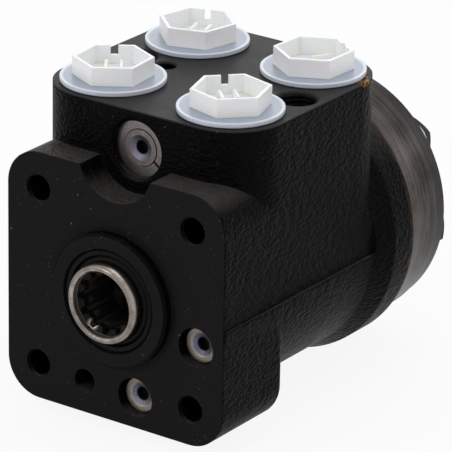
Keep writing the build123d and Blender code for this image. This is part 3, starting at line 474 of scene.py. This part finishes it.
# steels: colour, darker patches, share of dark spots, gloss range, tool marks per metre,
# height of the marks and softness of the edges in metres
steels = {
    "brightSteel": {"tone": (0.50, 0.47, 0.43), "dark": (0.30, 0.27, 0.25), "spots": 0.25,
                    "rough": (0.16, 0.34), "marks": 900.0, "markHeight": 0.00001, "round": 0.0003},
    "noseSteel": {"tone": (0.36, 0.33, 0.30), "dark": (0.22, 0.19, 0.17), "spots": 0.25,
                  "rough": (0.18, 0.32), "marks": 900.0, "markHeight": 0.00001, "round": 0.0003},
    "plateSteel": {"tone": (0.105, 0.093, 0.087), "dark": (0.036, 0.030, 0.028), "spots": 0.40,
                   "rough": (0.22, 0.42), "marks": 2600.0, "markHeight": 0.00001, "round": 0.0002},
    "ringSteel": {"tone": (0.075, 0.066, 0.062), "dark": (0.026, 0.022, 0.021), "spots": 0.40,
                  "rough": (0.24, 0.44), "marks": 3000.0, "markHeight": 0.00001, "round": 0.0002},
    "coverSteel": {"tone": (0.050, 0.046, 0.046), "dark": (0.022, 0.020, 0.020), "spots": 0.35,
                   "rough": (0.28, 0.46), "marks": 1900.0, "markHeight": 0.00001, "round": 0.0003},
    "greySteel": {"tone": (0.33, 0.31, 0.31), "dark": (0.22, 0.20, 0.20), "spots": 0.40,
                  "rough": (0.36, 0.55), "marks": 0.0, "markHeight": 0.00001, "round": 0.0002},
    "blackSteel": {"tone": (0.036, 0.034, 0.035), "dark": (0.018, 0.017, 0.018), "spots": 0.30,
                   "rough": (0.30, 0.50), "marks": 0.0, "markHeight": 0.00002, "round": 0.0003},
    "threadSteel": {"tone": (0.010, 0.009, 0.009), "dark": (0.005, 0.005, 0.005), "spots": 0.20,
                    "rough": (0.36, 0.52), "marks": 0.0, "markHeight": 0.00001, "round": 0.0001},
    "springSteel": {"tone": (0.22, 0.20, 0.20), "dark": (0.12, 0.11, 0.11), "spots": 0.25,
                    "rough": (0.28, 0.45), "marks": 0.0, "markHeight": 0.00001, "round": 0.0001},
    "washerSteel": {"tone": (0.50, 0.50, 0.51), "dark": (0.36, 0.36, 0.37), "spots": 0.25,
                    "rough": (0.30, 0.48), "marks": 0.0, "markHeight": 0.00001, "round": 0.0001},
}

# what all steels share: sizes of grain, patches, spots and worn edges, whose lighter tone is also a painted
# highlight, and how far the marks run out of round
steelGrain = {
    "grain": 0.0004,
    "patch": 0.009,
    "patchShare": 0.35,
    "spot": 0.0014,
    "spotTone": 0.25,
    "spotDull": 0.15,
    "edge": 0.0004,
    "edgeWearAndHighlightShare": 0.5,
    "edgeWearAndHighlightTone": 2.5,
    "markShare": 0.7,
    "waver": 4.0,
    "waverSize": 0.02,
}


def turned(mat, perMetre):
    # tool marks of a lathe: a noise over the distance from the shaft and the place along it, bent a little
    x, y, z = mat.axes()
    node = mat.tree.nodes.new("ShaderNodeCombineXYZ")
    mat.put(node.inputs[0], mat.times(mat.fromLine(x, z), perMetre))
    mat.put(node.inputs[1], mat.times(y, perMetre))
    mat.put(node.inputs[2], mat.times(mat.noise(steelGrain["waverSize"], 2.0), steelGrain["waver"]))
    return mat.noise(1.0, 3.0, 0.6, node.outputs[0])


def mixed(mat, amount, first, second):
    # amount of the first and the rest of the second
    return mat.calc("ADD", mat.times(first, amount), mat.times(second, 1 - amount))


def steelNodes(mat, setup):
    # cloudy patches between two tones, dark pin spots, edges lighter by wear and a painted highlight, and
    # rings round the shaft where there are tool marks
    shared = steelGrain
    grain = mat.noise(shared["grain"], 3.0, 0.6)
    marks = turned(mat, setup["marks"]) if setup["marks"] else grain
    relief = mixed(mat, shared["markShare"], marks, grain)
    normal = mat.bump(relief, setup["markHeight"], mat.softEdge(setup["round"]))
    clouds = mat.noise(shared["patch"], 5.0, 0.6)
    patches = mat.ramp(mixed(mat, shared["patchShare"], clouds, marks), 0.38, 0.62)
    spots = mat.ramp(mat.noise(shared["spot"], 4.0, 0.65), 0.62, 0.78)
    spotTone = tuple(part * shared["spotTone"] for part in setup["dark"])
    edgeWearAndHighlightTone = tuple(min(1.0, part * shared["edgeWearAndHighlightTone"]) for part in setup["tone"])
    tone = mat.blend(patches, setup["tone"], setup["dark"])
    tone = mat.blend(mat.times(spots, setup["spots"]), tone, spotTone)
    # edges lighter all round: wear, and a painted highlight where edges catch the light
    tone = mat.blend(mat.times(mat.edges(shared["edge"]), shared["edgeWearAndHighlightShare"]), tone, edgeWearAndHighlightTone)
    rough = mat.calc("ADD", mat.spread(marks, *setup["rough"]), mat.times(spots, shared["spotDull"]))
    return tone, rough, normal


def steel(name):
    # one of the steels as a bare metal
    mat = Finish(name)
    tone, rough, normal = steelNodes(mat, steels[name])
    return mat.done(color=tone, rough=rough, metal=1.0, normal=normal)


# the shaft's nose, in metres: dark spline inside one radius, oil and painted shade in the bore, brown film on
# the rim, and one tooth worn bright
nose = {
    "inner": (0.01086, 0.01046),
    "oilAndShade": (0.004, 0.0035, 0.0033),
    "oilAndShadeShare": (0.98, 0.10),
    "sheen": 0.05,
    "film": (0.16, 0.12, 0.09),
    "filmPatch": 0.0035,
    "filmShare": 0.6,
    "filmPlace": (0.0, -0.004),
    "brightTooth": (-0.0048, -0.0044, -0.0083),
    "brightReach": (0.0024, 0.00096),
}


def shaftSteel(setup):
    # bright steel outside, and dark oil with painted shade over it inside, except on the worn tooth
    mat = Finish("shaftSteel")
    x, y, z = mat.axes()
    tone, rough, normal = steelNodes(mat, steels["noseSteel"])
    inside = mat.ramp(mat.fromLine(x, z), *setup["inner"])
    worn = mat.ramp(mat.fromPoint(setup["brightTooth"]), *setup["brightReach"])
    film = mat.ramp(mat.noise(setup["filmPatch"], 4.0, 0.6), 0.40, 0.62)
    film = mat.times(film, mat.ramp(y, *setup["filmPlace"]))
    tone = mat.blend(mat.times(film, setup["filmShare"]), tone, setup["film"])
    # inside the bore the steel is darkened by oil and painted shade, and stops being metal
    oiledAndShaded = mat.times(inside, mat.spread(worn, *setup["oilAndShadeShare"]))
    tone = mat.blend(oiledAndShaded, tone, setup["oilAndShade"])
    return mat.done(color=tone, rough=rough, metal=mat.without(oiledAndShaded), specular=setup["sheen"], normal=normal)


# faces of the valve plugs, in metres: centre in x and z, the radii where dish and socket start to show and
# are full, and the colours of rim, dish and socket
valveFaces = {
    "relief_plug": {"centre": (0.0, 0.0453), "dish": (0.0043, 0.0039), "socket": (0.0026, 0.0020),
                    "rim": (0.17, 0.14, 0.125), "dishTone": (0.12, 0.115, 0.165),
                    "shadow": (0.020, 0.018, 0.021)},
    "shock_valve_screw_right": {"centre": (0.03091, -0.00828), "dish": (0.0038, 0.0034),
                                "socket": (0.0026, 0.0020), "rim": (0.25, 0.215, 0.18),
                                "dishTone": (0.10, 0.105, 0.16), "shadow": (0.020, 0.018, 0.019)},
    "shock_valve_screw_left": {"centre": (0.00828, -0.03091), "dish": (0.0038, 0.0034),
                               "socket": (0.0026, 0.0020), "rim": (0.25, 0.215, 0.18),
                               "dishTone": (0.10, 0.105, 0.16), "shadow": (0.020, 0.018, 0.019)},
}
valveWear = {"patch": 0.0016, "share": 0.45, "metal": 0.9}


def valveSteel(name, face):
    # rim, dish and socket by the distance from the middle, with grey patches where the plating is worn
    mat = Finish(name + "Steel")
    along, across = mat.axes()[::2]
    grey, rough, normal = steelNodes(mat, steels["greySteel"])
    away = mat.fromLine(along, across, face["centre"])
    worn = mat.ramp(mat.noise(valveWear["patch"], 4.0, 0.6), 0.45, 0.65)
    tone = mat.blend(mat.ramp(away, *face["dish"]), face["rim"], face["dishTone"])
    tone = mat.blend(mat.times(worn, valveWear["share"]), tone, grey)
    tone = mat.blend(mat.ramp(away, *face["socket"]), tone, face["shadow"])
    return mat.done(color=tone, rough=rough, metal=valveWear["metal"], normal=normal)


# rubbers: colour of each, then what they share
rubbers = {"slideRing": (0.20, 0.14, 0.10), "darkRubber": (0.0035, 0.0033, 0.0036)}
rubberGrain = {"bloom": 0.0033, "bloomShare": 0.35, "bloomTone": 3, "grain": 0.0004, "height": 0.00002,
               "round": 0.0002, "gloss": (0.50, 0.72), "glossPatch": 0.002, "sheen": 0.10}


def rubber(name):
    # a paler bloom in patches over one colour
    mat = Finish(name)
    shared, tone = rubberGrain, rubbers[name]
    bloom = mat.times(mat.ramp(mat.noise(shared["bloom"], 4.0, 0.6), 0.5, 0.8), shared["bloomShare"])
    color = mat.blend(bloom, tone, tuple(part * shared["bloomTone"] for part in tone))
    normal = mat.bump(mat.noise(shared["grain"], 3.0), shared["height"], mat.softEdge(shared["round"]))
    rough = mat.spread(mat.noise(shared["glossPatch"], 3.0), *shared["gloss"])
    return mat.done(color=color, rough=rough, specular=shared["sheen"], normal=normal)


# soft transport plugs: colours, then heights and radii of their zones in metres; "middle" is the middle
# of the four plugs along y, and "step" how far each stands from it in x and y
plugs = {
    "clear": (0.95, 0.985, 1.0),
    "cream": (0.95, 0.95, 0.86),
    "creamShare": 0.8,
    "creamPatch": 0.006,
    "creamHeight": (0.0640, 0.0597),
    "disc": (0.66, 0.70, 0.79),
    "discHeight": (0.0599, 0.0595),
    # ring: painted shade, the dark port under the disc seen through the plastic near the middle
    "ring": (0.25, 0.30, 0.41),
    "showThroughShadeRadius": (0.0161, 0.0152),
    "middle": 0.05075,
    "step": (0.0222, 0.02215),
    "ripple": 0.0022,
    "rippleHeight": 0.00004,
    "round": 0.0005,
    "gloss": (0.30, 0.46),
    "glossPatch": 0.0033,
    "sheen": 0.4,
    "milk": 0.3,
    "milkDepth": 0.0016,
}


def milkyPlastic(setup):
    # the four plugs folded onto one about their middle: a blue-grey ring on the disc, painted shade of the
    # dark port seen through it, cream low on the walls
    mat = Finish("milkyPlastic")
    x, y, z = mat.axes()
    foldedX = mat.calc("ABSOLUTE", x)
    foldedY = mat.calc("ABSOLUTE", mat.calc("SUBTRACT", y, setup["middle"]))
    ring = mat.ramp(mat.fromLine(foldedX, foldedY, setup["step"]), *setup["showThroughShadeRadius"])
    clouds = mat.ramp(mat.noise(setup["creamPatch"], 2.0), 0.36, 0.60)
    cream = mat.times(mat.ramp(z, *setup["creamHeight"]), clouds)
    tone = mat.blend(mat.times(cream, setup["creamShare"]), setup["clear"], setup["cream"])
    # the ring on the disc is painted shade of the dark port showing through
    onDisc = mat.blend(ring, setup["disc"], setup["ring"])
    tone = mat.blend(mat.ramp(z, *setup["discHeight"]), tone, onDisc)
    normal = mat.bump(mat.noise(setup["ripple"], 3.0), setup["rippleHeight"], mat.softEdge(setup["round"]))
    rough = mat.spread(mat.noise(setup["glossPatch"], 3.0), *setup["gloss"])
    return mat.done(color=tone, rough=rough, specular=setup["sheen"], normal=normal,
                    under=setup["milk"], underDepth=setup["milkDepth"])


finishes = {
    "black_paint": blackPaint(paint),
    "bright_steel": steel("brightSteel"),
    "ground_steel": steel("ringSteel"),
    "cover_grey": steel("coverSteel"),
    "grey_steel": steel("greySteel"),
    "black_steel": steel("blackSteel"),
    "spring_steel": steel("springSteel"),
    "soft_washer": steel("washerSteel"),
    "slide_ring": rubber("slideRing"),
    "dark_rubber": rubber("darkRubber"),
    "milky_plastic": milkyPlastic(plugs),
}
# nodes keep their record's finish, except the few that have one of their own
slotOf = {part["node"]: part["material_slot"] for part in frame["record"]["subparts"]}
ownFinish = {"spool": shaftSteel(nose), "distributor_plate": steel("plateSteel")}
ownFinish.update({name: valveSteel(name, face) for name, face in valveFaces.items()})
for name, node in nodes.items():
    node.data.materials.clear()
    node.data.materials.append(ownFinish.get(name, finishes[slotOf[name]]))
print("finishes given to", len(nodes), "nodes")

mergeDistance = 1e-7  # metres between points that are one


def merged(mesh, change=None):
    # points that lie together become one, and change may work on the merged mesh before it goes back
    work = bmesh.new()
    work.from_mesh(mesh)
    bmesh.ops.remove_doubles(work, verts=work.verts, dist=mergeDistance)
    if change:
        change(work)
    work.to_mesh(mesh)
    work.free()


def addPiece(name, mesh):
    # a finished mesh as an object at the origin, unturned
    piece = bpy.data.objects.new(name, mesh)
    bpy.context.scene.collection.objects.link(piece)
    return piece


def gridPiece(name, points, slotName, sharp=40.0):
    # points are (copies, rows, round, 3): quads join neighbouring rows, and each row closes on itself
    copies, rows, around, _ = points.shape
    index = np.arange(copies * rows * around).reshape(copies, rows, around)
    ahead = np.roll(index, -1, axis=2)
    quads = np.stack([index[:, :-1], ahead[:, :-1], ahead[:, 1:], index[:, 1:]], axis=-1).reshape(-1, 4)
    mesh = bpy.data.meshes.new(name)
    mesh.from_pydata(points.reshape(-1, 3).tolist(), [], quads.tolist())
    merged(mesh)
    mesh.polygons.foreach_set("use_smooth", np.ones(len(mesh.polygons), dtype=bool))
    mesh.set_sharp_from_angle(angle=np.radians(sharp))
    mesh.materials.append(finishes[slotName])
    return addPiece(name, mesh)


def fullTurn(steps):
    # even angles round a whole circle
    return np.linspace(0, 2 * np.pi, steps, endpoint=False)


def sawtooth(turns):
    # up and down once for each whole turn, between 0 and 1
    return 1 - 2 * np.abs(turns % 1.0 - 0.5)


def rings(angle, *pairs):
    # each pair of radius and place along the shaft as one ring over the angles; either may vary with them
    return np.array([[radius + 0 * angle, along + 0 * angle] for radius, along in pairs])


def lathed(angle, shape):
    # each ring's radius and place along the shaft made into points about the line of the shaft
    radius, along = shape[:, 0], shape[:, 1]
    return np.stack([radius * np.cos(angle), along, radius * np.sin(angle)], axis=-1)


# rear screws: hexagon heads with a turned-off top and a bearing collar, on threaded shanks; metres, degrees
screws = {
    "circle": 0.0330,
    "count": 7,
    "pinned": 4,
    "flats": 0.0130,
    "headHeight": 0.0034,
    "topRadius": 0.0060,
    "topAngle": 30.0,
    "collarRadius": 0.0061,
    "collar": 0.0003,
    "shank": 0.0040,
    "threadDepth": 0.0005,
    "pitch": 0.00125,
    "pinRadius": 0.0020,
    "pinLength": 0.0060,
    "around": 72,
    "perPitch": 6,
}


def screwPoints(size, places, bearing, tip, pinned):
    # rings from the middle of the head's top outwards, down the flats, in to the shank and along the thread;
    # a flat is half the width across flats over the cosine of the angle from that flat's middle
    angle = fullTurn(size["around"])
    flat = size["flats"] / 2 / np.cos((angle + np.pi / 6) % (np.pi / 3) - np.pi / 6)
    top = bearing + size["headHeight"]
    bevel = top - (flat - size["topRadius"]) * np.tan(np.radians(size["topAngle"]))
    collar = bearing + size["collar"]
    head = rings(angle, (0.0, top), (size["topRadius"], top), (flat, bevel), (flat, collar),
                 (size["collarRadius"], collar), (size["collarRadius"], bearing), (size["shank"], bearing))
    depth = np.arange(bearing, tip, -size["pitch"] / size["perPitch"])[:, None]
    cut = sawtooth(depth / size["pitch"] - angle / (2 * np.pi)) * size["threadDepth"]
    thread = np.stack([size["shank"] - cut, depth + 0 * angle], axis=1)
    end = depth[-1, 0]
    pinTip = tip - size["pinLength"]
    pin = [(size["pinRadius"], end), (size["pinRadius"], pinTip), (0.0, pinTip)]
    tail = rings(angle, *(pin if pinned else [(0.0, end)]))
    shape = lathed(angle, np.concatenate([head, thread, tail]))
    return shape + np.insert(places, 1, 0.0, axis=1)[:, None, None]


bearing = float(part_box("rear_washers")[1][1])
tip = float(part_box("rear_screws")[0][1])
turns = np.radians(90 - 360 / screws["count"] * np.arange(screws["count"]))
allPlaces = screws["circle"] * np.column_stack([np.cos(turns), np.sin(turns)])
isPinned = np.arange(screws["count"]) == screws["pinned"]
for name, node, chosen in (("plainScrews", "rear_screws", ~isPinned), ("pinnedScrew", "pin_screw", isPinned)):
    points = screwPoints(screws, allPlaces[chosen], bearing, tip, node == "pin_screw")
    heads = gridPiece(name, points, "black_steel")
    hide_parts(node)
    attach(heads, "housing")
print("rear screws made")

# shaft nose: rounded rim, mouth and the front of the internal spline; behind cut the node's own mesh goes on
rim = {
    "radius": 0.01315,
    "round": 0.0015,
    "roundLength": 0.0030,
    "mouth": 0.01065,
    "mouthBreak": 0.0005,
    "toothFront": -0.0048,
    "toothSlope": 0.0009,
    "cut": -0.0015,
    "teeth": 12,
    "tip": 0.00875,
    "space": 0.0103,
    "halfSpace": 0.0015,
    "spaceFoot": 0.00845,
    "flank": 68.0,
    "around": 360,
    "bendSteps": 9,
    "frontSteps": 5,
}


def splineRadius(size, angle):
    # over one tooth: the tip circle, then the straight flank, then the flat bottom of the space between teeth
    step = 2 * np.pi / size["teeth"]
    off = np.abs((angle + step / 2) % step - step / 2)
    slope = 1 / np.tan(np.radians(size["flank"]))
    flank = (size["halfSpace"] + size["spaceFoot"] * slope) / (np.tan(off) + slope)
    return np.maximum(size["tip"], np.minimum(size["space"], flank) / np.cos(off))


def nosePoints(size, front):
    # rings from behind over a quarter of an ellipse, across the rim and into the mouth, down the sloped
    # tooth fronts, each ring no further in than the slope, and back along the spline to the cut
    angle = fullTurn(size["around"])
    spline = splineRadius(size, angle)
    bend = np.linspace(0, np.pi / 2, size["bendSteps"])
    outside = size["radius"] - size["round"] * (1 - np.cos(bend))
    behind = front + size["roundLength"] * (1 - np.sin(bend))
    inwards = np.linspace(0, 1, size["frontSteps"] + 1)[1:]
    sloped = [np.maximum(spline, size["mouth"] + part * (size["tip"] - size["mouth"])) for part in inwards]
    shape = rings(angle, (size["radius"], size["cut"]), *zip(outside, behind),
                  (size["mouth"] + size["mouthBreak"], front), (size["mouth"], front + size["mouthBreak"]),
                  (size["mouth"], size["toothFront"]),
                  *zip(sloped, size["toothFront"] + inwards * size["toothSlope"]),
                  (spline, size["cut"]), (size["radius"], size["cut"]))
    return lathed(angle, shape)[None]


def shaftBehind(node, cut, sharp=30.0):
    # the node's own mesh behind the cut, its open end closed
    def shorten(body):
        forwards = (0.0, -1.0, 0.0)
        parts = list(body.verts) + list(body.edges) + list(body.faces)
        bmesh.ops.bisect_plane(body, geom=parts, plane_co=(0.0, cut, 0.0), plane_no=forwards,
                               clear_outer=True)
        ends = [edge for edge in body.edges if edge.is_boundary]
        bmesh.ops.triangle_fill(body, edges=ends, normal=forwards, use_beauty=True)

    mesh = nodes[node].data.copy()
    merged(mesh, shorten)
    mesh.set_sharp_from_angle(angle=np.radians(sharp))
    return addPiece("shaftBody", mesh)


noseRim = gridPiece("noseRim", nosePoints(rim, float(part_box("spool")[0][1])), "bright_steel")
noseRim.data.materials[0] = ownFinish["spool"]
shaftBody = shaftBehind("spool", rim["cut"])
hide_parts("spool")
for piece in (noseRim, shaftBody):
    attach(piece, "spool")
print("shaft nose made")

# threads in the drilled holes: radius at the crest, crest to root, pitch, first turn and length in metres,
# and their places in x and z of the column face or in x and y of the port face
columnHalf = 0.05834 / 2
columnHoles = [(x, z) for x in (-columnHalf, columnHalf) for z in (-columnHalf, columnHalf)]
threads = {
    "columnThreads": {"face": "column", "radius": 0.00425, "deep": 0.00030, "pitch": 0.0015,
                      "start": 0.0009, "long": 0.0150, "places": columnHoles},
    "auxiliaryThreads": {"face": "ports", "radius": 0.00590, "deep": 0.00035, "pitch": 0.0015,
                         "start": 0.0014, "long": 0.0110, "places": [(0.0322, 0.0495), (-0.0294, 0.0510)]},
    "clampThreads": {"face": "ports", "radius": 0.00340, "deep": 0.00028, "pitch": 0.00125,
                     "start": 0.0009, "long": 0.0120, "places": [(-0.0172, 0.0490)]},
}
threadGrid = {"around": 64, "perPitch": 6, "clear": 0.00002}


def threadPoints(size, grid):
    # a sleeve whose inner wall steps in and out once for each pitch, the step moving on with the angle;
    # its outer wall is a plain cylinder that runs back to the first ring and closes it
    depth = size["start"] + np.arange(0, size["long"], size["pitch"] / grid["perPitch"])
    order = [0, *range(len(depth)), -1, 0]
    along, turn = np.meshgrid(depth[order], fullTurn(grid["around"]), indexing="ij")
    step = sawtooth(along / size["pitch"] - turn / (2 * np.pi)) * size["deep"] + grid["clear"]
    step[[0, -2, -1]] = 0.0
    radius = size["radius"] - step
    return along, radius * np.cos(turn), radius * np.sin(turn)


def threadPiece(name, size, portLevel):
    # one sleeve in each hole, running back from the column face or down from the port face
    along, first, second = threadPoints(size, threadGrid)
    copies = []
    for firstPlace, secondPlace in size["places"]:
        across, up = first + firstPlace, second + secondPlace
        inHole = [across, along, up] if size["face"] == "column" else [across, up, portLevel - along]
        copies.append(np.stack(inHole, axis=-1))
    return gridPiece(name, np.array(copies), "black_steel")


portLevel = float(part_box("housing")[1][2])
threadFinish = steel("threadSteel")
for name, size in threads.items():
    piece = threadPiece(name, size, portLevel)
    piece.data.materials[0] = threadFinish
    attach(piece, "housing")
print("threads made")

# parting ledge: the lower half of the casting stands a little proud of the flange's sides, in metres
ledge = {
    "side": 0.0410,
    "frontRadius": 0.04135,
    "backRadius": 0.04190,
    "height": -0.0010,
    "start": 0.0007,
    "end": 0.0312,
    "root": 0.0008,
    "lengthSteps": 24,
    "dropSteps": 14,
}


def ledgePoints(size, hand):
    # a slice of a round bar about the shaft, cut off level on top; its radius grows evenly towards the back,
    # and it ends where the bar's radius meets the flange's side: root of radius squared less side squared
    inside = size["side"] - size["root"]
    growth = np.concatenate([[0.0, 0.0], np.linspace(0.0, 1.0, size["lengthSteps"]), [1.0]])
    along = size["start"] + growth * (size["end"] - size["start"])
    radius = size["frontRadius"] + growth * (size["backRadius"] - size["frontRadius"])
    lowest = -np.sqrt(radius**2 - size["side"]**2)
    drop = np.linspace(0.0, 1.0, size["dropSteps"])
    height = size["height"] + drop[None] * (lowest - size["height"])[:, None]
    outer = np.sqrt(radius[:, None]**2 - height**2)
    inner = np.full((len(along), 1), inside)
    across = np.concatenate([inner, outer, inner], axis=1)
    level = np.concatenate([height[:, :1], height, height[:, -1:]], axis=1)
    across[[0, -1]] = inside
    level[[0, -1]] = size["height"]
    depth = np.repeat(along[:, None], across.shape[1], axis=1)
    shape = np.stack([hand * across, depth, level], axis=-1)
    return shape[None] if hand > 0 else shape[None, :, ::-1]


for name, hand in (("ledgeRight", 1), ("ledgeLeft", -1)):
    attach(gridPiece(name, ledgePoints(ledge, hand), "black_paint"), "housing")
print("parting ledges made")

# valve springs of round wire, each filling its node's box, listed with its valve's joint and lift, in metres
springs = {
    "wire": 0.00095,
    "turns": 5.0,
    "steps": 260,
    "around": 12,
    "coils": {
        "reliefCoil": {"node": "relief_spring", "joint": "relief_lift", "lift": 0.0012},
        "shockCoilRight": {"node": "shock_valve_spring_right", "joint": "shock_lift_right", "lift": 0.0010},
        "shockCoilLeft": {"node": "shock_valve_spring_left", "joint": "shock_lift_left", "lift": 0.0010},
    },
}


def coilPoints(size, low, high):
    # a circle of the wire's radius carried round a helix that fills the box, with its ends closed to points
    step = np.linspace(0.0, 1.0, size["steps"])
    turn = 2 * np.pi * size["turns"] * step
    wire = size["wire"] / 2
    middle = (low + high) / 2
    radius = (high[0] - low[0]) / 2 - wire
    rise = low[1] + wire + step * (high[1] - low[1] - 2 * wire)
    centre = np.column_stack([middle[0] + radius * np.cos(turn), rise, middle[2] + radius * np.sin(turn)])
    out = np.column_stack([np.cos(turn), np.zeros_like(turn), np.sin(turn)])
    way = np.gradient(centre, axis=0)
    way /= np.linalg.norm(way, axis=1)[:, None]
    side = np.cross(way, out)
    thick = np.full(len(step), wire)
    thick[[0, -1]] = 0.0
    around = fullTurn(size["around"])[None, :, None]
    ring = np.cos(around) * out[:, None] + np.sin(around) * side[:, None]
    return (centre[:, None] + thick[:, None, None] * ring)[None]


for name, valve in springs["coils"].items():
    low, high = np.array(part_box(valve["node"]))
    coil = gridPiece(name, coilPoints(springs, low, high), "spring_steel")
    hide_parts(valve["node"])
    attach(coil, "housing")
    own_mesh(coil)
print("springs made")
